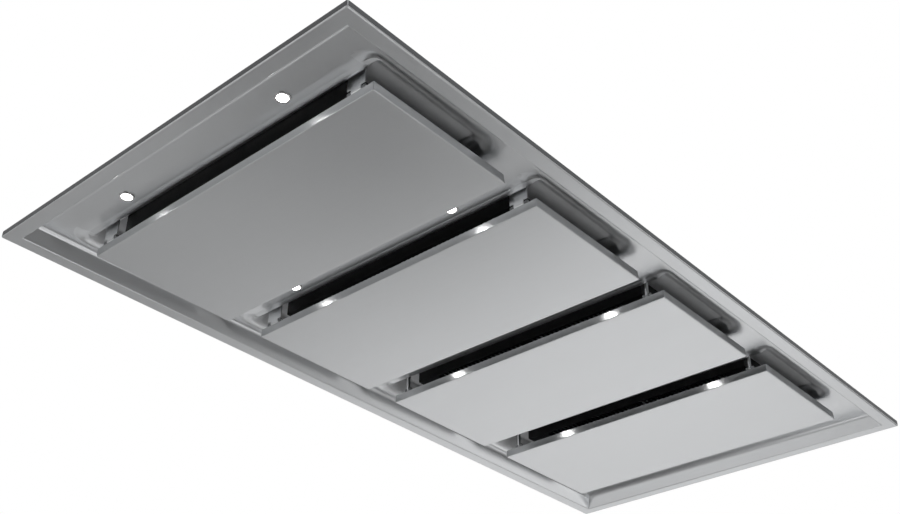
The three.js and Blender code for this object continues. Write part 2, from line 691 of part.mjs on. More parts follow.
// A turned lamp body: bezel under the plate, barrel through it, a shallow seat for the lens.
function ledSpot(x, y) {
  const seat = PLATE - GAP;
  const face = seat - LAMP_RIM;
  const lensFace = face + LAMP_RIM / 2;
  const top = PLATE + LAMP_HEIGHT;
  const profile = [
    [0, lensFace],
    [LAMP_LENS, lensFace],
    [LAMP_LENS + LAMP_RIM / 3, face],
    [LAMP_BEZEL, face],
    [LAMP_BEZEL, seat],
    [LAMP_BODY, seat],
    [LAMP_BODY, top],
    [0, top],
  ];
  return turned(profile, SMALL_SIDES).translate([x, y, 0]);
}

for (let i = 0; i < PANEL_COUNT; i++)
  for (const [side, x, y] of lampPlaces(i)) place(`led_spot_${i + 1}_${side}`, ledSpot(x, y), LAMP);

// ---------------------------------------------------------------- housing

const glandPlace = [GLAND_BEHIND, SHELL_TOP - BOX_HEIGHT / 2 - BOX_CORNER];

function housingShell() {
  const x = SHELL_LENGTH / 2;
  const y = SHELL_BACK;
  const t = SHELL_SHEET;
  const profile = [
    [-SHELL_FLANGE, SHELL_BASE],
    [t, SHELL_BASE],
    [t, SHELL_TOP - t],
    [LID_LAP, SHELL_TOP - t],
    [LID_LAP, SHELL_TOP],
    [0, SHELL_TOP],
    [0, SHELL_BASE + t],
    [-SHELL_FLANGE, SHELL_BASE + t],
  ];
  const shell = rimAround([-x, -y, x, y], CORNER_RADIUS, profile);
  const ductHole = bar(DUCT_RADIUS + 2 * GAP, CUT_DEPTH, "y", [DUCT_X, y, DUCT_Z], ROUND_SIDES);
  const glandHole = bar(GLAND_RADIUS + GAP, CUT_DEPTH, "x", [-x, ...glandPlace], SMALL_SIDES);
  return cut(shell, ductHole, glandHole);
}

function housingLid() {
  const x = SHELL_LENGTH / 2;
  const base = SHELL_TOP + GAP;
  const lid = roundedPlate([-x, -SHELL_BACK, x, SHELL_BACK], CORNER_RADIUS);
  return raised(lid, base, base + SHELL_SHEET);
}

place("housing_shell", housingShell(), GALVANISED);
place("housing_lid", housingLid(), GALVANISED);

// ---------------------------------------------------------------- blower

// The volute's outline, drawn in by a wall: a spiral round the wheel, and a straight neck towards +Y.
function voluteOutline(wall, end) {
  const first = Math.acos(NECK_LEFT / SCROLL_START);
  const growth = Math.log(SCROLL_END / SCROLL_START) / (2 * Math.PI - first);
  const steps = SPIRAL_STEPS;
  const spiral = Array.from({ length: steps + 1 }, (_, k) => {
    const angle = first + ((2 * Math.PI - first) * k) / steps;
    const r = SCROLL_START * Math.exp(growth * (angle - first)) - wall;
    return [r * Math.cos(angle), r * Math.sin(angle)];
  });
  spiral[0] = [NECK_LEFT + wall, spiral[0][1]];
  return [...spiral, [NECK_RIGHT - wall, end], [NECK_LEFT + wall, end]];
}

function blowerScroll() {
  const end = SHELL_BACK - SHELL_SHEET - GAP;
  const base = SCROLL_BASE + SCROLL_SHEET + GAP;
  const walls = cut(
    raised(voluteOutline(0, end), base, SCROLL_TOP),
    raised(voluteOutline(SCROLL_SHEET, end + PAST), base - PAST, SCROLL_TOP - SCROLL_SHEET),
  );
  const spread = WHEEL_RADIUS - POST_RADIUS;
  const places = [
    [-spread, POST_RADIUS - spread],
    [-spread, spread - POST_RADIUS],
    [NECK_RIGHT - 8 * POST_RADIUS, 2 * POST_RADIUS - spread],
    [NECK_RIGHT - 8 * POST_RADIUS, spread + 5 * POST_RADIUS],
  ];
  const sunk = SCROLL_SHEET / 2;
  const middle = SCROLL_TOP + (SCROLL_POST - sunk) / 2;
  const length = SCROLL_POST + sunk;
  const posts = places.map(([x, y]) => bar(POST_RADIUS, length, "z", [x, y, middle], SMALL_SIDES));
  return join(walls, ...posts);
}

// The bottom plate, with the bellmouth that leads air into the wheel.
function blowerInletPlate() {
  const end = SHELL_BACK - SHELL_SHEET - GAP;
  const top = SCROLL_BASE + SCROLL_SHEET;
  const plate = cut(
    raised(voluteOutline(0, end), SCROLL_BASE, top),
    bar(INLET_RADIUS, CUT_DEPTH, "z", [0, 0, SCROLL_BASE], ROUND_SIDES),
  );
  const centre = [INLET_RADIUS, SCROLL_BASE + BELL_RADIUS];
  const bell = [
    ...arc(centre, BELL_RADIUS, -90, -180, BEND_STEPS),
    ...arc(centre, BELL_RADIUS - SCROLL_SHEET, -180, -90, BEND_STEPS),
    [INLET_RADIUS + SCROLL_SHEET, top],
    [INLET_RADIUS + SCROLL_SHEET, SCROLL_BASE],
  ];
  return join(plate, turned(bell, ROUND_SIDES));
}

const WHEEL_BASE = SCROLL_BASE + SCROLL_SHEET + WHEEL_CLEARANCE;
const WHEEL_TOP = WHEEL_BASE + WHEEL_HEIGHT;
const MOTOR_TOP = SCROLL_TOP - SCROLL_SHEET - GAP;
const MOTOR_BASE = MOTOR_TOP - MOTOR_HEIGHT;
const HUB_LEVEL = MOTOR_BASE - SHAFT_OUT;

// One forward-curved blade, drawn at angle 0.
function blade() {
  const inner = WHEEL_RADIUS - BLADE_DEPTH;
  const side = (shift) =>
    [0, 0.5, 1].map((u) => [
      inner + BLADE_DEPTH * u,
      (BLADE_SWEEP + BLADE_BOW) * u * u - BLADE_BOW * u + shift,
    ]);
  const outline = [...side(0), ...side(BLADE_THICKNESS).reverse()];
  return raised(outline, WHEEL_BASE + WHEEL_RIM / 2, WHEEL_TOP - WHEEL_RIM / 2);
}

// The wheel: a ring at the inlet, blades, and a cupped back plate that reaches round the motor to the hub.
function impeller() {
  const t = WHEEL_RIM;
  const inner = WHEEL_RADIUS - BLADE_DEPTH - t / 3;
  const rim = WHEEL_RADIUS + t;
  const ring = turned(
    [[inner, WHEEL_BASE], [rim, WHEEL_BASE], [rim, WHEEL_BASE + t], [inner, WHEEL_BASE + t]],
    BLADE_COUNT,
  );
  const bore = SHAFT_RADIUS + GAP;
  const cup = MOTOR_RADIUS + MOTOR_ROOM;
  const back = turned(
    [
      [rim, WHEEL_TOP],
      [cup, WHEEL_TOP],
      [cup - t, HUB_LEVEL + 2 * t],
      [HUB_FOOT, HUB_LEVEL + t],
      [HUB_RADIUS, HUB_LEVEL + HUB_ABOVE],
      [bore, HUB_LEVEL + HUB_ABOVE],
      [bore, HUB_LEVEL - HUB_BELOW],
      [HUB_RADIUS, HUB_LEVEL - HUB_BELOW],
      [HUB_FOOT, HUB_LEVEL],
      [cup, HUB_LEVEL + t],
      [cup + t, WHEEL_TOP - t],
      [rim, WHEEL_TOP - t],
    ],
    BLADE_COUNT,
  );
  const one = blade();
  const turn = 360 / BLADE_COUNT;
  const blades = Array.from({ length: BLADE_COUNT }, (_, k) => one.rotate([0, 0, turn * k]));
  return join(ring, back, ...blades);
}

function motor() {
  const r = MOTOR_RADIUS;
  const step = MOTOR_CHAMFER / 2;
  const tip = HUB_LEVEL - HUB_BELOW - step;
  return turned(
    [
      [0, tip],
      [SHAFT_RADIUS, tip],
      [SHAFT_RADIUS, MOTOR_BASE],
      [r - step - MOTOR_CHAMFER, MOTOR_BASE],
      [r - step, MOTOR_BASE + MOTOR_CHAMFER],
      [r - step, MOTOR_BASE + MOTOR_BAND],
      [r, MOTOR_BASE + MOTOR_BAND],
      [r, MOTOR_TOP - MOTOR_BAND],
      [r - step, MOTOR_TOP - MOTOR_BAND],
      [r - step, MOTOR_TOP - step],
      [r + MOTOR_FLANGE, MOTOR_TOP - step],
      [r + MOTOR_FLANGE, MOTOR_TOP],
      [0, MOTOR_TOP],
    ],
    MOTOR_SIDES,
  );
}

place("blower_scroll", blowerScroll(), GALVANISED);
place("blower_inlet_plate", blowerInletPlate(), GALVANISED);
place("impeller", impeller(), GREY_PLASTIC);
place("motor", motor(), GREY_PLASTIC);

// ---------------------------------------------------------------- duct collar and damper

const DAMPER_Y = SHELL_BACK - DAMPER_SETBACK;

// A spigot through the shell's back wall, with the fixed upright pin of the damper.
function ductCollar() {
  const inner = DUCT_RADIUS - DUCT_WALL;
  const back = -DUCT_INSIDE;
  const seat = GAP;
  const tube = turned(
    [
      [inner, back],
      [DUCT_RADIUS, back],
      [DUCT_RADIUS, seat],
      [DUCT_RADIUS + COLLAR_FLANGE, seat],
      [DUCT_RADIUS + COLLAR_FLANGE, seat + DUCT_WALL],
      [DUCT_RADIUS, seat + DUCT_WALL],
      [DUCT_RADIUS, DUCT_OUTSIDE],
      [inner, DUCT_OUTSIDE],
    ],
    ROUND_SIDES,
  ).rotate([-90, 0, 0]);
  const pin = bar(DAMPER_PIN, 2 * inner + DUCT_WALL, "z", [0, -DAMPER_SETBACK, 0], SMALL_SIDES);
  return join(tube, pin).translate([DUCT_X, SHELL_BACK, DUCT_Z]);
}

// A half-round flap on two knuckles; the other flap's knuckles fill the gaps between them.
function damperFlap(side) {
  const r = DUCT_RADIUS - DUCT_WALL - FLAP_CLEARANCE;
  const start = FLAP_KNUCKLE + 1.7 * GAP;
  const half = THREE.MathUtils.radToDeg(Math.acos(start / r));
  const outline = arc([0, 0], r, -half, half, SMALL_SIDES).map(([x, z]) => [side * x, z]);
  const leaf = drawnAlongY(outline, -FLAP_SHEET / 2, FLAP_SHEET / 2);
  const length = KNUCKLE_LENGTH;
  const step = side < 0 ? 0 : length + KNUCKLE_PLAY;
  const centres = [KNUCKLE_INSET - r, KNUCKLE_PLAY].map((low) => low + step + length / 2);
  const reach = 2 * FLAP_KNUCKLE;
  const parts = centres.flatMap((z) => [
    bar(FLAP_KNUCKLE, length, "z", [0, 0, z], SMALL_SIDES),
    box(
      Math.min(0, side * reach),
      -FLAP_SHEET / 2,
      z - length / 2,
      Math.max(0, side * reach),
      FLAP_SHEET / 2,
      z + length / 2,
    ),
  ]);
  const bore = bar(DAMPER_PIN + 1.2 * GAP, BIG, "z", [0, 0, 0], SMALL_SIDES);
  return cut(join(leaf, ...parts), bore).translate([DUCT_X, DAMPER_Y, DUCT_Z]);
}

place("duct_collar", ductCollar(), BLACK);
place("damper_flap_left", damperFlap(-1), GALVANISED);
place("damper_flap_right", damperFlap(1), GALVANISED);

// ---------------------------------------------------------------- electrics and hangers

// A closed electronics box under the lid, between the gland and the blower.
function controlBox() {
  const x0 = -SHELL_LENGTH / 2 + BOX_SETBACK;
  const x1 = x0 + BOX_LENGTH;
  const y0 = glandPlace[0] - BOX_WIDTH / 2;
  const y1 = y0 + BOX_WIDTH;
  const outline = roundedPlate([x0, y0, x1, y1], BOX_CORNER);
  const ears = roundedPlate([x0 - BOX_EAR, y0 + BOX_EAR, x1 + BOX_EAR, y1 - BOX_EAR], BOX_CORNER);
  const body = raised(outline, SHELL_TOP - BOX_HEIGHT, SHELL_TOP);
  return join(body, raised(ears, SHELL_TOP - BOX_WALL, SHELL_TOP));
}

// A threaded gland through the shell's left wall: hexagon outside, thread and nut inside.
function cableGland() {
  const r = GLAND_RADIUS;
  const nut = GLAND_NUT;
  const collar = turned(
    [
      [GLAND_BORE, -GLAND_INSIDE],
      [r, -GLAND_INSIDE],
      [r, GAP],
      [r + 0.8 * nut, GAP],
      [r + 0.8 * nut, GLAND_CAP / 2],
      [r + 0.2 * nut, GLAND_CAP],
      [GLAND_BORE, GLAND_CAP],
    ],
    SMALL_SIDES,
  );
  const nutMiddle = -SHELL_SHEET - GAP - nut / 2;
  const hexagon = cut(
    bar(r + nut, nut, "z", [0, 0, nutMiddle], 6),
    bar(r - STEEL, 2 * nut, "z", [0, 0, nutMiddle], 6),
  );
  return join(collar, hexagon).rotate([0, -90, 0]).translate([-SHELL_LENGTH / 2, ...glandPlace]);
}

// An angle bracket on a short wall, with a slot for a threaded rod.
function hangerBracket(sideX, sideY) {
  const wall = SHELL_LENGTH / 2 + GAP;
  const y = sideY * HANGER_SPREAD;
  const half = HANGER_WIDTH / 2;
  const t = HANGER_SHEET;
  const profile = [
    [wall, HANGER_LEVEL - HANGER_HEIGHT],
    [wall + t, HANGER_LEVEL - HANGER_HEIGHT],
    [wall + t, HANGER_LEVEL - t],
    [wall + HANGER_LEAF, HANGER_LEVEL - t],
    [wall + HANGER_LEAF, HANGER_LEVEL],
    [wall, HANGER_LEVEL],
  ];
  const bracket = drawnAlongY(profile, y - half, y + half);
  const slotX = wall + t + (HANGER_LEAF - t) / 2;
  const slotHalf = [HANGER_SLOT_WIDTH / 2, HANGER_SLOT_LENGTH / 2];
  const slot = roundedPlate(
    [slotX - slotHalf[0], y - slotHalf[1], slotX + slotHalf[0], y + slotHalf[1]],
    HANGER_SLOT_WIDTH / 2,
  );
  const made = cut(bracket, raised(slot, HANGER_LEVEL - 2 * t, HANGER_LEVEL + t));
  return sideX > 0 ? made : made.mirror([1, 0, 0]);
}

place("control_box", controlBox(), GREY_PLASTIC);
place("cable_gland", cableGland(), BLACK);
[[-1, -1], [-1, 1], [1, -1], [1, 1]].forEach(([sx, sy], k) =>
  place(`hanger_bracket_${k + 1}`, hangerBracket(sx, sy), GALVANISED),
);

export default hood;
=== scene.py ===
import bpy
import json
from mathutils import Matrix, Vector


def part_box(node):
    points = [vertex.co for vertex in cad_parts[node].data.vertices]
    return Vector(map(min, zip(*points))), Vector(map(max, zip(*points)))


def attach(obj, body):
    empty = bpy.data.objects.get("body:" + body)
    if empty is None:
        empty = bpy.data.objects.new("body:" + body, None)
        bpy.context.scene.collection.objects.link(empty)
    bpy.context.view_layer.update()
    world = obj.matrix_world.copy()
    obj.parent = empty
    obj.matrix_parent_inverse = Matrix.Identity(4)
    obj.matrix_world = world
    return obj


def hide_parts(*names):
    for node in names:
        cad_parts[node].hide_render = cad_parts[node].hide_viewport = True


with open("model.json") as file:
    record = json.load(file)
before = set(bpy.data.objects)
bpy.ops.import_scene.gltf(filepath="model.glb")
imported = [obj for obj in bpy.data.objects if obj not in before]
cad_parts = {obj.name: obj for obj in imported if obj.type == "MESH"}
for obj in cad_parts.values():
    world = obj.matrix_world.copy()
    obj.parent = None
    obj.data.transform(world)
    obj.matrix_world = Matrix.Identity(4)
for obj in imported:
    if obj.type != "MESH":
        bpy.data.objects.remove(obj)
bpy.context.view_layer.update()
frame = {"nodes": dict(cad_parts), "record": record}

# A flush ceiling range hood, seen from below: its finishes and fine forms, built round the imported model.
# Metres, +Z up. X runs along the hood, "left" is -X, "near" is -Y and "far" is +Y.
import json
import math

import bmesh
import bpy
from mathutils import Matrix, Vector
from mathutils.geometry import tessellate_polygon

MM = 0.001
TINY = 1e-7  # lengths closer than this are the same
scene = bpy.context.scene

# ---------------------------------------------------------------- places taken from the frame

NUMBERS = (1, 2, 3, 4)  # of the panels, from left to right, and of what belongs to each
WIDE_HINGED = (1, 2)  # the panels whose fixed hinge leaves are wide
SIDES = ("near", "far")
HOOD_LOW, HOOD_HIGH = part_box("fascia_pan")
FLANGE_FACE = HOOD_LOW.z
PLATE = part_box("grease_filter_1")[0].z
PANELS = [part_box(f"panel_{k}") for k in NUMBERS]
FILTERS = [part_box(f"grease_filter_{k}") for k in NUMBERS]

# ---------------------------------------------------------------- driving dimensions of the fine forms

STEEL = 1 * MM
FLANGE_WIDTH = 18.5 * MM
FLANGE_CORNER = 2 * MM
RETURN_BEND = 1.6 * MM
WALL_RUN = 11.5 * MM
WALL_BEND = 9 * MM
SUPPORT = 0.8 * MM  # a narrow flat band beside each bend keeps the flats' shading flat
SHARPEST = 0.4 * MM  # radius left at the pan's inner corners

DISH_START = -35 * MM  # from the panel's left edge
DISH_RUN = 17 * MM
DISH_RISE = 2.6 * MM
LEDGE_RISE = 2.75 * MM
DISH_SHARE = (0.1, 0.9)  # of those two rises, at the near end and at the far end
LEDGE_BLEND = 0.8 * MM  # half the run from the dish to the level ledge
LEDGE_END = 25 * MM  # from the start of the dish
ROLL_RUN = 7 * MM
ROLL_RISE = 12 * MM
POCKET_RIGHT = 181 * MM  # from the panel's left edge
POCKET_HALF = 261 * MM
SOFT_ROLL = 17 * MM  # run and rise of the right side
END_RUN = 31 * MM  # the two ends climb in a long soft S
PAINTED_LIGHT_RISE = 0.01 * MM  # the ends' paler, less metallic copy of the steel, painted light, starts this far above the plate
PAINTED_LIGHT_CLIMB = 6 * MM  # and is dull by this height
PAINTED_LIGHT_REACH = 62 * MM  # and runs this far in from each end
POCKET_DEPTH = 22 * MM
POCKET_CORNER = 25 * MM
CEILING_CORNER = 8 * MM
CEILING_BEND = 1.5 * MM
DISH_STEPS = 6
ROLL_STEPS = 8
CEILING_STEPS = 3
OPENING_RIGHT = 161 * MM  # the filter's opening, from the panel's left edge
OPENING_CORNER = 1 * MM
FILTER_CLEARANCE = 1 * MM

PANEL_BEND = 1.1 * MM
PANEL_CORNER = 1.3 * MM
PANEL_SHARPEST = 0.3 * MM
GRIP_LEAN = 3 * MM

LAMP_HOLE = 6.8 * MM
LENS_RADIUS = 6.4 * MM
# radius, and height above the bezel's face; the radii of the last three start from the lens's own
LENS_CROWN = ((0, 0.15 * MM), (3 * MM, 0.22 * MM), (5.5 * MM, 0.42 * MM))
LENS_EDGE = (-0.2 * MM, 0.7 * MM)
LENS_BACK = (-0.3 * MM, 1.2 * MM)
LENS_SEAT = ((-0.6 * MM, 1.4 * MM), (0, 0.8 * MM), (0.15 * MM, 0.1 * MM), (0.4 * MM, 0))
BEZEL_RADIUS = 9 * MM
BEZEL_BEND = 0.4 * MM
BEZEL_THICKNESS = 1 * MM
LAMP_BODY = 6.5 * MM
LAMP_BEND = 1 * MM
LAMP_SIDE = 20.3 * MM  # height of the body's straight side above the bezel's face

# ---------------------------------------------------------------- mesh helpers


def arc(centre, radius, start, end, steps):
    """Points on an arc in a profile plane, between two angles in degrees."""
    angles = [math.radians(start + (end - start) * k / steps) for k in range(steps + 1)]
    return [(centre[0] + radius * math.cos(a), centre[1] + radius * math.sin(a)) for a in angles]


def round_rectangle(x0, y0, x1, y1, radius, steps=6):
    """Points round a rectangle, anticlockwise from its upper right corner.

    Each is (x, y, leftness), where leftness goes from 0 to 1 round the corners of the left side.
    """
    corners = ((x1, y1, -1, -1), (x0, y1, 1, -1), (x0, y0, 1, 1), (x1, y0, -1, 1))
    points = []
    for quarter, (x, y, toward_x, toward_y) in enumerate(corners):
        for k in range(steps + 1):
            share = k / steps
            angle = (quarter + share) * math.pi / 2
            left = {1: share, 2: 1 - share}.get(quarter, 0)
            px = x + toward_x * radius + radius * math.cos(angle)
            py = y + toward_y * radius + radius * math.sin(angle)
            points.append((px, py, ease(left)))
    return points


def ease(share):
    """A share of 0 to 1 with a slow start and a slow end."""
    return share * share * (3 - 2 * share)


def add_ring(bm, points):
    return [bm.verts.new(p) for p in points]


def bridge(bm, ring_a, ring_b, material=0):
    """Faces between two rings with the same number of points."""
    count = len(ring_a)
    for k in range(count):
        after = (k + 1) % count
        face = bm.faces.new((ring_a[k], ring_a[after], ring_b[after], ring_b[k]))
        face.material_index = material


def face_toward(bm, direction, pick):
    """Turns an open sheet so that the face picked by its centre looks along a direction."""
    bmesh.ops.recalc_face_normals(bm, faces=bm.faces)
    bm.normal_update()
    best = min(bm.faces, key=lambda f: (f.calc_center_median() - Vector(pick)).length)
    if best.normal.dot(Vector(direction)) < 0:
        bmesh.ops.reverse_faces(bm, faces=bm.faces)


def link(name, bm, materials):
    mesh = bpy.data.meshes.new(name)
    bm.to_mesh(mesh)
    bm.free()
    obj = bpy.data.objects.new(name, mesh)
    scene.collection.objects.link(obj)
    for each in materials:
        mesh.materials.append(each)
    return obj


def smooth_group(angle):
    """A modifier's node group: smooth faces, and sharp edges above an angle."""
    group = bpy.data.node_groups.new(f"smooth_below_{angle}", "GeometryNodeTree")
    group.interface.new_socket("Geometry", in_out="INPUT", socket_type="NodeSocketGeometry")
    group.interface.new_socket("Geometry", in_out="OUTPUT", socket_type="NodeSocketGeometry")
    start = group.nodes.new("NodeGroupInput")
    end = group.nodes.new("NodeGroupOutput")
    faces = group.nodes.new("GeometryNodeSetShadeSmooth")
    faces.domain = "FACE"
    edges = group.nodes.new("GeometryNodeSetShadeSmooth")
    edges.domain = "EDGE"
    measure = group.nodes.new("GeometryNodeInputMeshEdgeAngle")
    compare = group.nodes.new("FunctionNodeCompare")
    compare.data_type = "FLOAT"
    compare.operation = "LESS_EQUAL"
    compare.inputs[1].default_value = math.radians(angle)
    group.links.new(start.outputs[0], faces.inputs["Geometry"])
    group.links.new(faces.outputs[0], edges.inputs["Geometry"])
    group.links.new(measure.outputs[0], compare.inputs[0])
    group.links.new(compare.outputs[0], edges.inputs["Shade Smooth"])
    group.links.new(edges.outputs[0], end.inputs[0])
    return group


SMOOTH = {angle: smooth_group(angle) for angle in (30, 50)}


def shade(obj, angle=30):
    """Smooth shading up to an angle, which follows the larger faces."""
    obj.modifiers.new("smooth", "NODES").node_group = SMOOTH[angle]
    weighted = obj.modifiers.new("weighted", "WEIGHTED_NORMAL")
    weighted.keep_sharp = True
    weighted.weight = 80
    return obj


def settle(obj):
    """Applies what the modifiers do so far."""
    bpy.context.view_layer.update()
    shown = obj.evaluated_get(bpy.context.evaluated_depsgraph_get())
    mesh = bpy.data.meshes.new_from_object(shown)
    obj.modifiers.clear()
    obj.data = mesh
    return obj


def thicken(obj, thickness, offset=-1):
    solidify = obj.modifiers.new("thickness", "SOLIDIFY")
    solidify.thickness = thickness
    solidify.offset = offset
    solidify.use_even_offset = True
    solidify.use_quality_normals = True
    return obj


def bevel(obj, width, angle=30):
    made = obj.modifiers.new("edges", "BEVEL")
    made.width = width
    made.segments = 2
    made.limit_method = "ANGLE"
    made.angle_limit = math.radians(angle)
    made.harden_normals = False
    made.use_clamp_overlap = True
    return obj


def lathe(name, profile, materials, sides=48):
    """A profile of (radius, height) turned about the Z axis; ends on the axis close to a point."""
    bm = bmesh.new()
    rings = []
    for radius, height in profile:
        if radius < TINY:
            rings.append([bm.verts.new((0, 0, height))])
            continue
        angles = [2 * math.pi * k / sides for k in range(sides)]
        points = [(radius * math.cos(a), radius * math.sin(a), height) for a in angles]
        rings.append(add_ring(bm, points))
    for low, high in zip(rings, rings[1:]):
        if len(low) == 1 or len(high) == 1:
            point, ring = (low[0], high) if len(low) == 1 else (high[0], low)
            for k in range(sides):
                bm.faces.new((point, ring[k], ring[(k + 1) % sides]))
        else:
            bridge(bm, low, high)
    bmesh.ops.recalc_face_normals(bm, faces=bm.faces)
    return link(name, bm, materials)


# ---------------------------------------------------------------- materials

RANGE_SOCKETS = ("From Min", "From Max", "To Min", "To Max")


class Finish:
    """A Principled material and short ways to add texture to it."""

    def __init__(self, name, color, metallic, roughness):
        self.material = bpy.data.materials.new(name)
        self.material.use_nodes = True
        self.tree = self.material.node_tree
        self.shader = self.tree.nodes["Principled BSDF"]
        self.color = (*color, 1)
        self.shader.inputs["Base Color"].default_value = self.color
        self.shader.inputs["Metallic"].default_value = metallic
        self.shader.inputs["Roughness"].default_value = roughness
        self.place = self.tree.nodes.new("ShaderNodeTexCoord").outputs["Object"]
        self.height = None

    def node(self, kind, **inputs):
        made = self.tree.nodes.new(kind)
        for name, value in inputs.items():
            made.inputs[name].default_value = value
        return made

    def join(self, output, socket):
        self.tree.links.new(output, socket)

    def noise(self, stretch, detail=3.0):
        """Noise whose frequency along each axis, per metre, is the stretch."""
        mapping = self.node("ShaderNodeMapping", Scale=stretch)
        texture = self.node("ShaderNodeTexNoise", Scale=1.0, Detail=detail, Roughness=0.5)
        self.join(self.place, mapping.inputs["Vector"])
        self.join(mapping.outputs["Vector"], texture.inputs["Vector"])
        return texture.outputs["Fac"]

    def spread(self, output, low, high, start=0.3, end=0.7):
        """An output that runs over 0 to 1 laid out between two values."""
        ranged = self.node("ShaderNodeMapRange")
        for socket, value in zip(RANGE_SOCKETS, (start, end, low, high)):
            ranged.inputs[socket].default_value = value
        self.join(output, ranged.inputs["Value"])
        return ranged.outputs["Result"]

    def vary_color(self, output, darker, lighter):
        """The base colour times a factor that the output moves between two values."""
        mix = self.tree.nodes.new("ShaderNodeMix")
        mix.data_type = "RGBA"
        for socket, value in (("A", darker), ("B", lighter)):
            sockets = [s for s in mix.inputs if s.name == socket and s.type == "RGBA"]
            sockets[0].default_value = (*[min(1, c * value) for c in self.color[:3]], 1)
        self.join(self.spread(output, 0, 1), mix.inputs["Factor"])
        result = [s for s in mix.outputs if s.type == "RGBA"][0]
        self.join(result, self.shader.inputs["Base Color"])

    def vary_roughness(self, output, low, high):
        self.join(self.spread(output, low, high), self.shader.inputs["Roughness"])

    def bump(self, output, depth):
        """Relief of a depth in metres, over any relief that is there already."""
        made = self.node("ShaderNodeBump", Strength=1.0, Distance=depth)
        self.join(output, made.inputs["Height"])
        if self.height is not None:
            self.join(self.height, made.inputs["Normal"])
        self.height = made.outputs["Normal"]
        self.join(self.height, self.shader.inputs["Normal"])


STREAK_TINT = 0.004
SHEET_WAVE = 0.0003


def brushed(name, color, roughness, along, wave=SHEET_WAVE):
    """Fine brushed sheet: hair-thin streaks along one axis, and slow waves and clouds in the sheet."""
    finish = Finish(name, color, 1.0, sum(roughness) / 2)
    fine = {"X": (4, 500, 500), "Y": (500, 4, 500)}[along]
    broad = {"X": (1.5, 60, 60), "Y": (60, 1.5, 60)}[along]
    streaks = finish.noise(fine, detail=2.0)
    bands = finish.noise(broad, detail=3.0)
    clouds = finish.noise((4, 4, 4), detail=1.0)
    finish.vary_roughness(bands, *roughness)
    finish.vary_color(streaks, 1 - STREAK_TINT, 1 + STREAK_TINT)
    finish.bump(clouds, wave)
    return finish.material


def galvanised(name, color):
    """Zinc-coated sheet, whose spangles differ in colour and gloss."""
    finish = Finish(name, color, 1.0, 0.42)
    mapping = finish.node("ShaderNodeMapping", Scale=(90, 90, 90))
    finish.join(finish.place, mapping.inputs["Vector"])
    cells = finish.node("ShaderNodeTexVoronoi", Scale=1.0)
    finish.join(mapping.outputs["Vector"], cells.inputs["Vector"])
    split = finish.tree.nodes.new("ShaderNodeSeparateColor")
    finish.join(cells.outputs["Color"], split.inputs["Color"])
    finish.vary_color(split.outputs["Red"], 0.94, 1.05)
    finish.vary_roughness(split.outputs["Green"], 0.4, 0.48)
    finish.bump(finish.noise((700, 700, 700)), 0.00002)
    return finish.material


def moulded(name, color):
    """Plastic with a fine moulded grain."""
    finish = Finish(name, color, 0.0, 0.5)
    speck = finish.noise((1500, 1500, 1500), detail=2.0)
    slow = finish.noise((25, 25, 25), detail=3.0)
    finish.vary_color(slow, 0.9, 1.1)
    finish.vary_roughness(slow, 0.44, 0.58)
    finish.bump(speck, 0.00006)
    return finish.material


def coated(name, color, roughness):
    """Satin powder coat on steel, with its faint orange peel."""
    finish = Finish(name, color, 0.0, roughness)
    peel = finish.noise((420, 420, 420), detail=2.0)
    slow = finish.noise((30, 30, 30), detail=3.0)
    finish.vary_color(slow, 0.8, 1.25)
    finish.vary_roughness(peel, roughness - 0.05, roughness + 0.07)
    finish.bump(peel, 0.00008)
    return finish.material


def cast(name, color):
    """Pitted cast metal."""
    finish = Finish(name, color, 1.0, 0.45)
    pits = finish.noise((900, 900, 900), detail=4.0)
    finish.vary_color(finish.noise((40, 40, 40)), 0.85, 1.1)
    finish.vary_roughness(pits, 0.36, 0.55)
    finish.bump(pits, 0.0001)
    return finish.material


def glowing(name, color, strength):
    """A faintly speckled lens lit from behind."""
    finish = Finish(name, (0.9, 0.9, 0.88), 0.0, 0.3)
    finish.vary_color(finish.noise((1200, 1200, 1200)), 0.97, 1.03)
    finish.shader.inputs["Emission Color"].default_value = (*color, 1)
    finish.shader.inputs["Emission Strength"].default_value = strength
    return finish.material


def pocket_painted_light(name, color):
    """Brushed steel that turns to a paler, duller, less metallic copy as it climbs into a pocket's end:
    painted light that brightens the ends.
    """
    finish = Finish(name, color, 1.0, 0.3)
    height = finish.tree.nodes.new("ShaderNodeSeparateXYZ")
    finish.join(finish.place, height.inputs["Vector"])
    climb = finish.spread(height.outputs["Z"], 0, 1, PLATE, PLATE + PAINTED_LIGHT_CLIMB)
    finish.join(finish.spread(climb, 1.0, 0.1, 0, 1), finish.shader.inputs["Metallic"])
    finish.join(finish.spread(climb, 0.29, 0.5, 0, 1), finish.shader.inputs["Roughness"])
    slow = finish.noise((30, 30, 30), detail=3.0)
    finish.vary_color(slow, 0.96, 1.04)
    finish.bump(finish.noise((4, 4, 4), detail=1.0), SHEET_WAVE)
    return finish.material


def shaded_return_paint(name):
    """The flange's outer return, painted dark: painted shade for the shade that falls on it."""
    finish = Finish(name, (0.05, 0.052, 0.055), 0.6, 0.5)
    streaks = finish.noise((20, 1600, 1600), detail=2.0)
    finish.vary_color(streaks, 0.85, 1.2)
    finish.vary_roughness(streaks, 0.42, 0.58)
    finish.bump(streaks, 0.00001)
    return finish.material


STAINLESS_X = brushed("stainless_along_x", (0.62, 0.63, 0.64), (0.285, 0.3), "X")
STAINLESS_Y = brushed("stainless_along_y", (0.62, 0.63, 0.64), (0.285, 0.3), "Y")
# painted light: a paler, duller copy of the pan's steel that brightens the pockets' ends
POCKET_PAINTED_LIGHT = pocket_painted_light("stainless_pocket_painted_light", (0.7, 0.71, 0.72))
# painted shade: the flange's outer return gets a dark copy of the steel
EDGE = shaded_return_paint("stainless_return_painted_shade")
LAMP_LENS = glowing("lamp_lens", (1.0, 0.99, 0.97), 25)

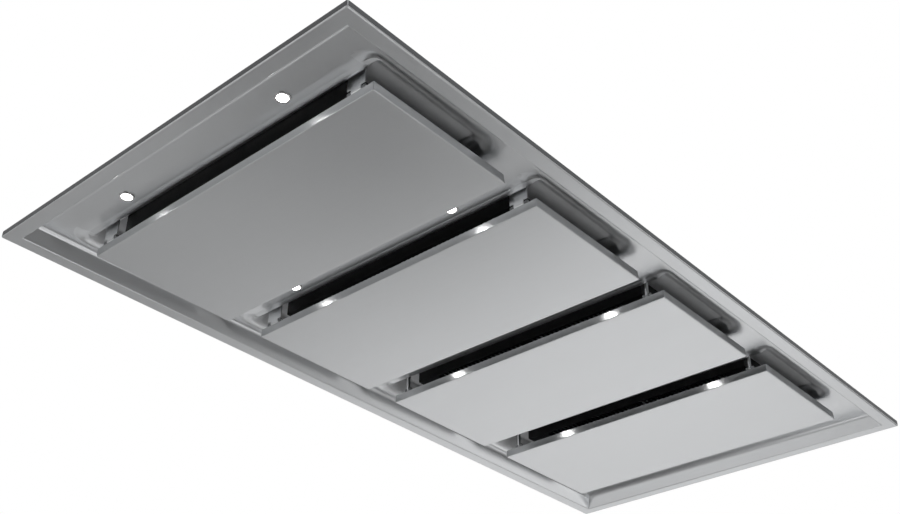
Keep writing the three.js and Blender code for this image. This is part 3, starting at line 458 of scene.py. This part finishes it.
FINISHES = {
    "stainless": STAINLESS_Y,
    "liner_steel": brushed("liner_steel", (0.4, 0.41, 0.42), (0.34, 0.46), "Y"),
    "bright_steel": brushed("bright_steel", (0.86, 0.87, 0.88), (0.3, 0.4), "Y", wave=0.0001),
    "galvanised": galvanised("galvanised", (0.55, 0.57, 0.58)),
    "filter_black": coated("filter_black", (0.012, 0.0125, 0.013), 0.42),
    "grey_plastic": moulded("grey_plastic", (0.18, 0.19, 0.2)),
    "black_plastic": moulded("black_plastic", (0.03, 0.03, 0.032)),
    "motor_metal": cast("motor_metal", (0.5, 0.51, 0.52)),
    "flap_metal": brushed("flap_metal", (0.7, 0.71, 0.72), (0.3, 0.42), "Y", wave=0.0001),
    "lamp": brushed("lamp_body", (0.8, 0.8, 0.79), (0.22, 0.32), "X", wave=0.00005),
}


def stand_for(obj, body, slot, *nodes):
    """A made piece that takes a CAD node's place and body."""
    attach(obj, body)
    if nodes:
        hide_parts(*nodes)
    return obj


# ---------------------------------------------------------------- fascia pan


def frame_profile():
    """(inset, height) of the visible side, from the top of the return to the plate."""
    slope = math.atan2(PLATE - FLANGE_FACE, WALL_RUN)
    turn = math.degrees(slope)
    lip = RETURN_BEND * math.tan(slope / 2)
    setback = WALL_BEND * math.tan(slope / 2)
    return_centre = (RETURN_BEND, FLANGE_FACE + RETURN_BEND)
    lip_centre = (FLANGE_WIDTH - lip, FLANGE_FACE + RETURN_BEND)
    wall_centre = (FLANGE_WIDTH + WALL_RUN + setback, PLATE - WALL_BEND)
    return [
        (0, 0),
        *arc(return_centre, RETURN_BEND, 180, 270, 5),
        (RETURN_BEND + SUPPORT, FLANGE_FACE),
        (lip_centre[0] - SUPPORT, FLANGE_FACE),
        *arc(lip_centre, RETURN_BEND, -90, turn - 90, 5),
        *arc(wall_centre, WALL_BEND, 90 + turn, 90, 10),
        (wall_centre[0] + SUPPORT, PLATE),
    ]


def frame_ring(inset):
    """The hood's outline, drawn in by an inset."""
    x, y = HOOD_HIGH.x - inset, HOOD_HIGH.y - inset
    return round_rectangle(-x, -y, x, y, max(FLANGE_CORNER - inset, SHARPEST), steps=3)


def ceiling_bend(run):
    """The turn from a pocket's side into its ceiling."""
    centre = (run + CEILING_BEND, POCKET_DEPTH - CEILING_BEND)
    return arc(centre, CEILING_BEND, 180, 90, CEILING_STEPS)


def left_profile(share):
    """(run, rise) from the start of the dish on a pocket's left side up to its ceiling."""
    steps = DISH_STEPS
    dish = [(DISH_RUN * k / steps, share * DISH_RISE * (k / steps) ** 2) for k in range(steps + 1)]
    ledge = share * LEDGE_RISE
    level = [(DISH_RUN + LEDGE_BLEND, 0.99 * ledge), (DISH_RUN + 2 * LEDGE_BLEND, ledge)]
    roll = []
    for k in range(ROLL_STEPS + 1):
        turn = math.radians(90 * k / ROLL_STEPS)
        roll.append((LEDGE_END + ROLL_RUN * math.sin(turn), ledge + ROLL_RISE * (1 - math.cos(turn))))
    return dish + level + roll + ceiling_bend(roll[-1][0])


def soft_profile(count):
    """(run, rise) of the softly rolled right side, with that many points."""
    steps = count - CEILING_STEPS - 2
    roll = []
    for k in range(steps + 1):
        turn = math.radians(90 * k / steps)
        roll.append((SOFT_ROLL * math.sin(turn), SOFT_ROLL * (1 - math.cos(turn))))
    return roll + ceiling_bend(SOFT_ROLL)


def end_profile(count):
    """(run, rise) of the softly sloping ends, with that many points."""
    profile = []
    for k in range(count):
        share = k / (count - 1)
        profile.append((END_RUN * share, POCKET_DEPTH * ease(share)))
    return profile


def pocket_rings(panel_left, filter_box):
    """The rings of one pocket, from the plate to the edge of the filter's opening."""
    shallow, deep = (left_profile(share) for share in DISH_SHARE)
    right = soft_profile(len(deep))
    ends = end_profile(len(deep))
    rings = []
    outside = round_rectangle(
        panel_left + DISH_START - SUPPORT,
        -POCKET_HALF - SUPPORT,
        panel_left + POCKET_RIGHT + SUPPORT,
        POCKET_HALF + SUPPORT,
        POCKET_CORNER + SUPPORT,
    )
    rings.append([(x, y, PLATE) for x, y, _ in outside])
    sides = zip(shallow, deep, right, ends)
    for (run_l, low_rise), (_, high_rise), (run_r, rise_r), (run_e, rise_e) in sides:
        outline = round_rectangle(
            panel_left + DISH_START + run_l,
            -POCKET_HALF + run_e,
            panel_left + POCKET_RIGHT - run_r,
            POCKET_HALF - run_e,
            max(POCKET_CORNER - run_e, CEILING_CORNER),
        )
        middle = panel_left + (DISH_START + POCKET_RIGHT) / 2
        ring = []
        for x, y, leftness in outline:
            far = ease((y + POCKET_HALF) / (2 * POCKET_HALF))
            rise_l = low_rise + (high_rise - low_rise) * far
            rise = rise_l * leftness + (rise_r if x > middle else rise_e) * (1 - leftness)
            ring.append((x, y, PLATE + rise))
        rings.append(ring)
    low, high = filter_box
    gap = FILTER_CLEARANCE
    edge = round_rectangle(
        low.x - gap, low.y - gap, panel_left + OPENING_RIGHT, high.y + gap, OPENING_CORNER
    )
    rings.append([(x, y, PLATE + POCKET_DEPTH) for x, y, _ in edge])
    return rings


# the second finish is the painted shade of the flange's return, the third the painted light of the
# pockets' ends
PAN_FINISHES = (STAINLESS_X, EDGE, POCKET_PAINTED_LIGHT)
PLAIN_FACE, RETURN_SHADE_FACE, PAINTED_LIGHT_FACE = range(3)
RETURN_SHADE_STRIPS = 2  # of the frame's profile, from the top of the return


def fascia():
    """The pressed pan: flange and wall, plate with four pockets, and the lamps' holes."""
    bm = bmesh.new()
    profile = frame_profile()
    rings = [add_ring(bm, [(x, y, z) for x, y, _ in frame_ring(inset)]) for inset, z in profile]
    # the return's first strips get the painted shade
    for k, (outer, inner) in enumerate(zip(rings, rings[1:])):
        bridge(bm, outer, inner, RETURN_SHADE_FACE if k < RETURN_SHADE_STRIPS else PLAIN_FACE)
    borders = [rings[-1]]
    for (low, _), filter_box in zip(PANELS, FILTERS):
        made = [add_ring(bm, ring) for ring in pocket_rings(low.x, filter_box)]
        for outer, inner in zip(made, made[1:]):
            bridge(bm, outer, inner)
        borders.append(made[0])
    flat = [v for border in borders for v in border]
    for triangle in tessellate_polygon([[Vector((v.co.x, v.co.y, 0)) for v in b] for b in borders]):
        bm.faces.new([flat[k] for k in triangle])
    face_toward(bm, (0, 0, -1), (0, 0, PLATE))
    # the pockets' ends get the painted light copy of the steel
    for face in bm.faces:
        middle = face.calc_center_median()
        at_end = POCKET_HALF > abs(middle.y) > POCKET_HALF - PAINTED_LIGHT_REACH
        if at_end and middle.z > PLATE + PAINTED_LIGHT_RISE:
            face.material_index = PAINTED_LIGHT_FACE
    pan = thicken(link("fascia", bm, PAN_FINISHES), STEEL)
    settle(pan)
    cutter = lamp_cutter()
    hole = pan.modifiers.new("lamp_holes", "BOOLEAN")
    hole.operation = "DIFFERENCE"
    hole.solver = "EXACT"
    hole.object = cutter
    settle(pan)
    bpy.data.objects.remove(cutter)
    shade(pan)
    return stand_for(pan, "hood", "stainless", "fascia_pan")


def lamp_places():
    """Number, side, centre and the height of the lower face of each lamp."""
    for k in NUMBERS:
        for side in SIDES:
            low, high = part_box(f"led_spot_{k}_{side}")
            yield k, side, (low + high) / 2, low.z


def lamp_cutter():
    """Round bars through the plate at each lamp, long enough for the dish beside them."""
    middle, length = PLATE + 2 * MM, 12 * MM
    bm = bmesh.new()
    for _, _, centre, _ in lamp_places():
        bmesh.ops.create_cone(
            bm,
            cap_ends=True,
            segments=48,
            radius1=LAMP_HOLE,
            radius2=LAMP_HOLE,
            depth=length,
            matrix=Matrix.Translation((centre.x, centre.y, middle)),
        )
    return link("lamp_cutter", bm, ())


# ---------------------------------------------------------------- panels


def panel_skin(k, low, high):
    """A folded tray: rounded bottom edge, three upright folds and a right one that leans in."""
    bend = arc((0, low.z + PANEL_BEND), PANEL_BEND, 0, -90, 6)
    profile = [(0, high.z), *[(PANEL_BEND - r, z) for r, z in bend], (PANEL_BEND + SUPPORT, low.z)]
    bm = bmesh.new()
    rings = []
    for inset, z in profile:
        lean = GRIP_LEAN * (z - low.z) / (high.z - low.z)
        corner = max(PANEL_CORNER - inset, PANEL_SHARPEST)
        outline = round_rectangle(
            low.x + inset, low.y + inset, high.x - inset - lean, high.y - inset, corner, steps=3
        )
        rings.append(add_ring(bm, [(x, y, z) for x, y, _ in outline]))
    for outer, inner in zip(rings, rings[1:]):
        bridge(bm, outer, inner)
    bm.faces.new(rings[-1])
    face_toward(bm, (0, 0, -1), ((low.x + high.x) / 2, 0, low.z))
    skin = thicken(link(f"panel_skin_{k}", bm, (STAINLESS_Y,)), STEEL)
    shade(skin)
    return stand_for(skin, f"panel_{k}_door", "stainless", f"panel_{k}")


# ---------------------------------------------------------------- lamps


def lamp(k, side, centre, face):
    """A turned body with a rounded bezel, and a crowned lens in it."""
    bezel_back, top = face + BEZEL_THICKNESS, face + LAMP_SIDE
    seat = [(0, face + LENS_SEAT[0][1]), *[(LENS_RADIUS + r, face + z) for r, z in LENS_SEAT]]
    bezel = [
        (BEZEL_RADIUS - BEZEL_BEND, face),
        *arc((BEZEL_RADIUS - BEZEL_BEND, face + BEZEL_BEND), BEZEL_BEND, -90, 0, 3),
        (BEZEL_RADIUS, bezel_back),
    ]
    can = [
        (LAMP_BODY, bezel_back),
        (LAMP_BODY, top),
        *arc((LAMP_BODY - LAMP_BEND, top), LAMP_BEND, 0, 90, 3),
        (0, top + LAMP_BEND),
    ]
    body = lathe(f"lamp_body_{k}_{side}", seat + bezel + can, (FINISHES["lamp"],))
    crown = [(r, face + z) for r, z in LENS_CROWN]
    rim = [(LENS_RADIUS + r, face + z) for r, z in (LENS_EDGE, LENS_BACK)]
    lens = lathe(f"lamp_lens_{k}_{side}", [*crown, *rim, (0, face + LENS_BACK[1])], (LAMP_LENS,))
    for piece in (body, lens):
        piece.location = (centre.x, centre.y, 0)
        shade(piece)
    stand_for(body, "hood", "lamp", f"led_spot_{k}_{side}")
    stand_for(lens, "hood", "lamp")


# ---------------------------------------------------------------- filters

FILTER_WALL = 1.5 * MM
FILTER_TONGUE = 4 * MM  # the part of the box's width that its side tongue takes
FILTER_SOFTENING = 0.35 * MM
SLOT_MARGIN = 5 * MM
SLOT_WIDTH = 5 * MM
SLOT_PITCH = 7.5 * MM
SLOTS_PER_HALF = 21
MIDDLE_BAR = 16 * MM


def slotted_tray(k, low, high):
    """The cassette: a sheet with two fields of slots, and upright walls round it."""
    right = high.x - FILTER_TONGUE
    xs = [low.x, low.x + SLOT_MARGIN, right - SLOT_MARGIN, right]
    first = MIDDLE_BAR / 2 + (SLOT_PITCH - SLOT_WIDTH) / 2
    starts = [first + SLOT_PITCH * n for n in range(SLOTS_PER_HALF)]
    slots = sorted([(-s - SLOT_WIDTH, -s) for s in starts] + [(s, s + SLOT_WIDTH) for s in starts])
    ys = sorted([low.y, high.y] + [edge for slot in slots for edge in slot])
    bm = bmesh.new()
    grid = [[bm.verts.new((x, y, low.z)) for y in ys] for x in xs]
    open_rows = {row for row, y in enumerate(ys) if any(abs(y - slot[0]) < TINY for slot in slots)}
    for column in range(len(xs) - 1):
        for row in range(len(ys) - 1):
            if column == 1 and row in open_rows:
                continue
            this, following = grid[column], grid[column + 1]
            bm.faces.new((this[row], this[row + 1], following[row + 1], following[row]))
    inner = grid[1:-1]
    border = grid[0] + [line[-1] for line in inner] + grid[-1][::-1] + [line[0] for line in inner][::-1]
    top = [bm.verts.new((v.co.x, v.co.y, high.z)) for v in border]
    bridge(bm, border, top)
    face_toward(bm, (0, 0, -1), (low.x, 0, low.z))
    tray = link(f"filter_tray_{k}", bm, (FINISHES["filter_black"],))
    thicken(tray, FILTER_WALL)
    bevel(tray, FILTER_SOFTENING)
    shade(tray)
    return stand_for(tray, "hood", "filter_black", f"grease_filter_{k}")


# ---------------------------------------------------------------- hinge leaves and pins

LEAF_SHEET = 1.4 * MM
LEAF_KNUCKLE = 7.3 * MM  # half its width
KNUCKLE_RADIUS = 2.3 * MM
PIN_RADIUS = 1.0 * MM
PIN_DOME = 0.5 * MM
FOOT_BEND = 2 * MM
LEAF_NOTCH = 1.2 * MM
LEAF_SOFTENING = 0.25 * MM


def hinge_leaf(k, side, low, high):
    """Foot, bend and plate in one sheet, whose middle tongue rolls round the pin."""
    middle = (low.y + high.y) / 2
    pin_low, pin_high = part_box(f"hinge_pin_{k}_{side}")
    axis = ((pin_low.x + pin_high.x) / 2, (pin_low.z + pin_high.z) / 2)
    roll = KNUCKLE_RADIUS - LEAF_SHEET / 2
    sheet_x, top = axis[0] - roll, high.z - LEAF_SHEET / 2
    shoulder = axis[1] + KNUCKLE_RADIUS + LEAF_NOTCH
    profile = [
        (high.x, top),
        *arc((sheet_x + FOOT_BEND, top - FOOT_BEND), FOOT_BEND, 90, 180, 5),
        (sheet_x, (top + shoulder) / 2),
        (sheet_x, shoulder),
        (sheet_x, (shoulder + axis[1]) / 2),
        *arc(axis, roll, 180, 440, 20),
    ]
    wide = next(n for n, (_, z) in enumerate(profile) if abs(z - shoulder) < TINY)
    columns = (low.y, middle - LEAF_KNUCKLE, middle + LEAF_KNUCKLE, high.y)
    bm = bmesh.new()
    grid = [[bm.verts.new((x, y, z)) for y in columns] for x, z in profile]
    for row in range(len(profile) - 1):
        for column in range(len(columns) - 1):
            if row < wide or column == 1:
                a, b = grid[row], grid[row + 1]
                bm.faces.new((a[column], a[column + 1], b[column + 1], b[column]))
    loose = [v for v in bm.verts if not v.link_faces]
    bmesh.ops.delete(bm, geom=loose, context="VERTS")
    face_toward(bm, (-1, 0, 0), (sheet_x, middle, (top + shoulder) / 2))
    leaf = link(f"hinge_leaf_{k}_{side}_made", bm, (FINISHES["bright_steel"],))
    thicken(leaf, LEAF_SHEET, 0)
    bevel(leaf, LEAF_SOFTENING)
    shade(leaf, 50)
    return stand_for(leaf, "hood", "bright_steel", f"hinge_leaf_{k}_{side}")


def hinge_pin(k, side, low, high):
    """A turned pin with domed ends."""
    half = (high.y - low.y) / 2
    base = half - PIN_DOME
    dome = [(PIN_RADIUS * math.cos(t), base + PIN_DOME * math.sin(t)) for t in (0.0, 0.5, 1.0)]
    profile = [(0, half), *dome[::-1], *[(r, -z) for r, z in dome], (0, -half)]
    pin = lathe(f"hinge_pin_{k}_{side}_made", profile, (FINISHES["bright_steel"],), sides=20)
    centre = (low + high) / 2
    pin.rotation_euler = (math.pi / 2, 0, 0)
    pin.location = centre
    shade(pin, 50)
    return stand_for(pin, "hood", "bright_steel", f"hinge_pin_{k}_{side}")


# ---------------------------------------------------------------- carried-over CAD nodes

SOFTENING = 0.5 * MM
BEVELS = {"galvanised": 0.4 * MM, "liner_steel": 0.3 * MM, "bright_steel": 0.35 * MM}
WELD_REACH = 0.01 * MM
FLAT_ANGLE = 0.5


def dress_cad_nodes():
    """Each shown CAD node gets its slot's finish, softened edges and smooth round faces."""
    for row in frame["record"]["subparts"]:
        node = frame["nodes"][row["node"]]
        if node.hide_render:
            continue
        slot = row["material_slot"]
        node.data.materials.clear()
        node.data.materials.append(FINISHES[slot])
        weld = node.modifiers.new("weld", "WELD")
        weld.merge_threshold = WELD_REACH
        flat = node.modifiers.new("flats", "DECIMATE")
        flat.decimate_type = "DISSOLVE"
        flat.angle_limit = math.radians(FLAT_ANGLE)
        bevel(node, BEVELS.get(slot, SOFTENING), angle=40)
        shade(node, 50)


# ---------------------------------------------------------------- surroundings, camera and light

FLOOR_LEVEL = -1.9
FLOOR_HALF = 40.0
BOARD_LEVEL = 0.0004  # just above the flange's back
BOARD_HALF = 8.0
CUT_OUT = (0.585, 0.285)  # half its size

# how strongly the world shines, from the lower height of a direction to the higher
WORLD_HEIGHTS = (0.15, 0.75)
WORLD_STRENGTHS = (0.42, 0.08)

# each light table's name, two corners, radiance and height above the floor
LIGHT_TABLES = (
    ("right_table_low", (1.85, 0.5), (7.5, 4.8), 0.32, 0.05),
    ("right_table_high", (2.3, 0.5), (7.5, 4.8), 0.36, 0.06),
    ("left_table", (-4.1, 0.5), (-1.7, 3.2), 0.95, 0.08),
    ("corner_table", (3.5, -7.8), (8.0, -2.7), 1.5, 0.05),
    ("middle_table", (0.1, -0.4), (0.9, 0.6), 0.6, 0.1),
    ("near_table", (-0.9, -1.7), (0.5, -0.9), 2.1, 0.09),
)
KEY_PLACE = (-1.5, -2.2, 3.6)
KEY_AIM = (2.9, 4.4, -5.5)
KEY_SIZE = (1.2, 1.2)
KEY_RADIANCE = 11
KEY_SPREAD = 64

CAMERA_PLACE = (-1.1307, -0.9088, -0.8036)
CAMERA_TURNS = (0.574209, 0.731807, 0.0154119)  # pitch, yaw and roll, in radians
CAMERA_LENS = 47.63  # millimetres, as is the sensor
SENSOR_WIDTH = 36


def stage_plane(name, level, half, material, hole=None):
    """A square floor that faces up, or a board with a hole that faces down."""
    bm = bmesh.new()
    corners = ((1, 1), (-1, 1), (-1, -1), (1, -1))
    outer = add_ring(bm, [(half * x, half * y, level) for x, y in corners])
    if hole:
        inner = add_ring(bm, [(hole[0] * x, hole[1] * y, level) for x, y in corners])
        bridge(bm, outer, inner)
    else:
        bm.faces.new(outer)
    bmesh.ops.recalc_face_normals(bm, faces=bm.faces)
    face_toward(bm, (0, 0, -1) if hole else (0, 0, 1), (half, half, level))
    plane = link(name, bm, (material,))
    return plane


def floor_material():
    """Pale, matt and very faintly clouded."""
    finish = Finish("pale_floor", (0.78, 0.78, 0.78), 0.0, 0.85)
    finish.vary_color(finish.noise((0.6, 0.6, 0.6)), 0.985, 1.015)
    return finish.material


def ceiling_material():
    """White where the camera, a reflection or a refraction meets it from below, and clear to all else."""
    made = bpy.data.materials.new("ceiling_board")
    made.use_nodes = True
    tree = made.node_tree
    tree.nodes.clear()
    output = tree.nodes.new("ShaderNodeOutputMaterial")
    white = tree.nodes.new("ShaderNodeEmission")
    white.inputs["Strength"].default_value = 1
    clear = tree.nodes.new("ShaderNodeBsdfTransparent")
    path = tree.nodes.new("ShaderNodeLightPath").outputs
    above = tree.nodes.new("ShaderNodeNewGeometry").outputs["Backfacing"]

    def combine(operation, *terms):
        step = tree.nodes.new("ShaderNodeMath")
        step.operation = operation
        for term, socket in zip(terms, step.inputs):
            if isinstance(term, int):
                socket.default_value = term
            else:
                tree.links.new(term, socket)
        return step.outputs[0]

    seen = combine("MAXIMUM", path["Is Camera Ray"], path["Is Glossy Ray"])
    seen = combine("MAXIMUM", seen, path["Is Transmission Ray"])
    seen_from_below = combine("MULTIPLY", seen, combine("SUBTRACT", 1, above))
    mix = tree.nodes.new("ShaderNodeMixShader")
    for source, socket in zip((seen_from_below, clear.outputs[0], white.outputs[0]), mix.inputs):
        tree.links.new(source, socket)
    tree.links.new(mix.outputs[0], output.inputs["Surface"])
    return made


def make_world():
    """A plain room: brightest from the horizon down, and dim overhead."""
    world = bpy.data.worlds.new("soft_room")
    scene.world = world
    world.use_nodes = True
    tree = world.node_tree
    background = tree.nodes["Background"]
    background.inputs["Color"].default_value = (1, 1, 1, 1)
    place = tree.nodes.new("ShaderNodeTexCoord")
    parts = tree.nodes.new("ShaderNodeSeparateXYZ")
    ramp = tree.nodes.new("ShaderNodeMapRange")
    ramp.interpolation_type = "SMOOTHSTEP"
    for socket, value in zip(RANGE_SOCKETS, WORLD_HEIGHTS + WORLD_STRENGTHS):
        ramp.inputs[socket].default_value = value
    tree.links.new(place.outputs["Generated"], parts.inputs["Vector"])
    tree.links.new(parts.outputs["Z"], ramp.inputs["Value"])
    tree.links.new(ramp.outputs["Result"], background.inputs["Strength"])


def area_light(name, size, radiance):
    """A rectangular lamp, unseen by the camera, that looks as bright as its radiance in a mirror."""
    data = bpy.data.lights.new(name, "AREA")
    data.shape = "RECTANGLE"
    data.size, data.size_y = size
    data.energy = radiance * math.pi * size[0] * size[1]
    made = bpy.data.objects.new(name, data)
    scene.collection.objects.link(made)
    made.visible_camera = False
    return made


def light_table(name, low, high, radiance, lift):
    """A soft light that lies just above the floor and faces up."""
    table = area_light(name, (high[0] - low[0], high[1] - low[1]), radiance)
    table.location = ((low[0] + high[0]) / 2, (low[1] + high[1]) / 2, FLOOR_LEVEL + lift)
    table.rotation_euler = (math.pi, 0, 0)


def make_lights():
    """Light tables, which the steel mirrors, and a key lamp that lays the hood's shadow on the floor."""
    for row in LIGHT_TABLES:
        light_table(*row)
    key = area_light("key", KEY_SIZE, KEY_RADIANCE)
    key.data.spread = math.radians(KEY_SPREAD)
    facing = Vector(KEY_AIM).to_track_quat("-Z", "Y").to_matrix().to_4x4()
    key.matrix_world = Matrix.Translation(KEY_PLACE) @ facing


def make_camera():
    """Below the hood's near left corner, looking up along it."""
    pitch, yaw, roll = CAMERA_TURNS
    forward = Vector((math.cos(pitch) * math.cos(yaw), math.cos(pitch) * math.sin(yaw), math.sin(pitch)))
    right = forward.cross(Vector((0, 0, 1))).normalized()
    up = right.cross(forward)
    turned_right = right * math.cos(roll) + up * math.sin(roll)
    turned_up = up * math.cos(roll) - right * math.sin(roll)
    data = bpy.data.cameras.new("camera")
    data.sensor_fit = "HORIZONTAL"
    data.sensor_width = SENSOR_WIDTH
    data.lens = CAMERA_LENS
    camera = bpy.data.objects.new("camera", data)
    scene.collection.objects.link(camera)
    axes = Matrix((turned_right, turned_up, -forward)).transposed()
    camera.matrix_world = Matrix.Translation(CAMERA_PLACE) @ axes.to_4x4()
    scene.camera = camera


# ---------------------------------------------------------------- build

fascia()
for number, (panel_low, panel_high) in enumerate(PANELS, 1):
    panel_skin(number, panel_low, panel_high)
for number, (filter_low, filter_high) in enumerate(FILTERS, 1):
    slotted_tray(number, filter_low, filter_high)
for place in lamp_places():
    lamp(*place)
for number in NUMBERS:
    for end in SIDES:
        hinge_pin(number, end, *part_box(f"hinge_pin_{number}_{end}"))
        if number in WIDE_HINGED:
            hinge_leaf(number, end, *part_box(f"hinge_leaf_{number}_{end}"))
dress_cad_nodes()

stage_plane("floor", FLOOR_LEVEL, FLOOR_HALF, floor_material())
stage_plane("ceiling_board", BOARD_LEVEL, BOARD_HALF, ceiling_material(), CUT_OUT)
make_world()
make_lights()
make_camera()

scene.view_settings.view_transform = "Standard"
